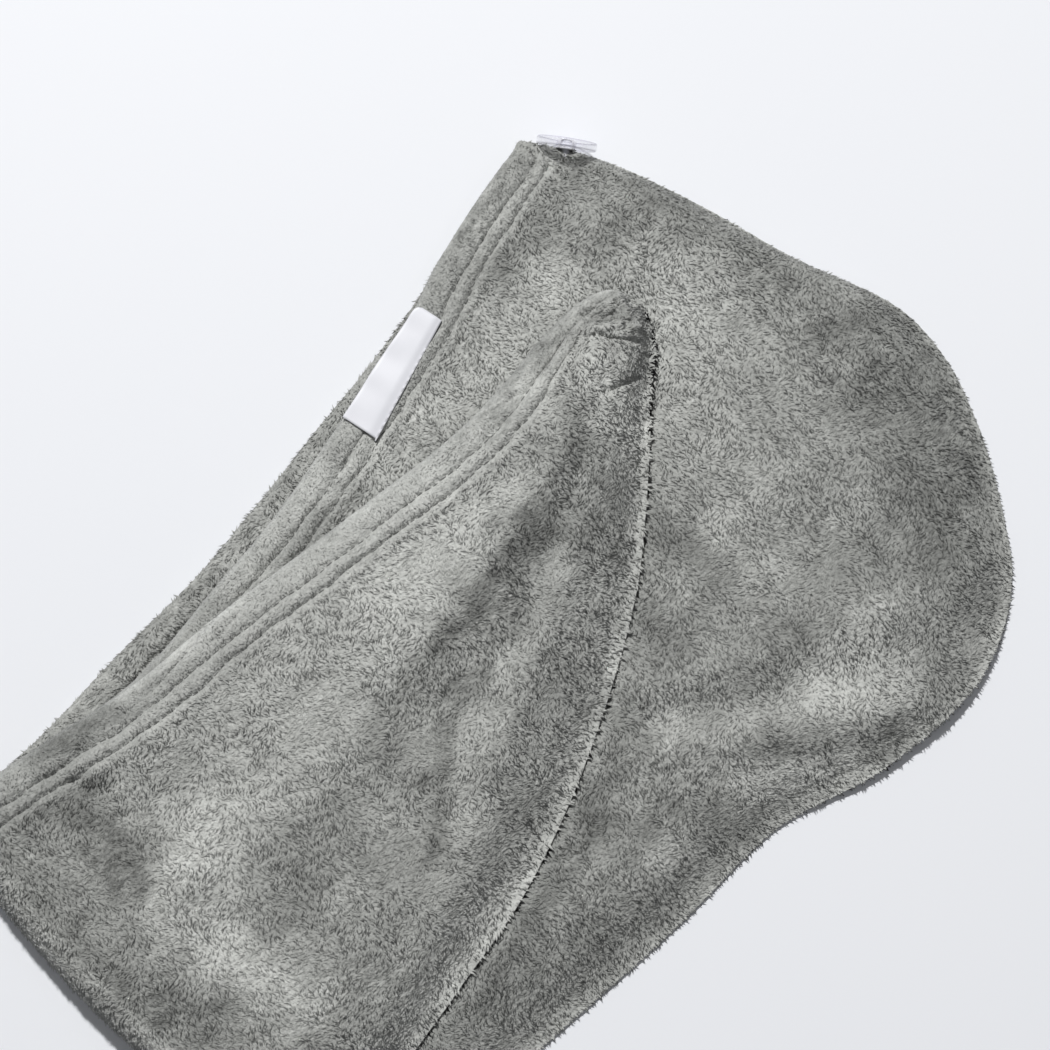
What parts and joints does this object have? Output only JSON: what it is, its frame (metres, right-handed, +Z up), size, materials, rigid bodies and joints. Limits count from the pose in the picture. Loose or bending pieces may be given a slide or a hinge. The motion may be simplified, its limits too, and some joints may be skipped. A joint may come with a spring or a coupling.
{
  "type": "hair turban towel",
  "caption": "Fleece hair turban towel lying folded: a hood with a long twisting tail laid back over it, a sewn label and a button at the nape corner.",
  "frame": {"origin": "middle of the folded towel's footprint, on the table", "axes": "+X along the open hem from the tail's fold towards the button corner, +Y from the crown's far seam towards the open hem, +Z up from the table"},
  "size_m": [0.376, 0.249, 0.0315],
  "materials": {
    "fleece": "deep soft coral fleece pile, matt",
    "satin": "smooth white satin ribbon",
    "clear_plastic": "clear polished plastic",
    "thread": "twisted sewing thread",
    "elastic": "braided round elastic"
  },
  "bodies": {
    "root": {"lower_panel": "fleece", "upper_panel": "fleece", "label": "satin", "button": "clear_plastic", "button_thread": "thread", "elastic_loop": "elastic"}
  },
  "joints": []
}
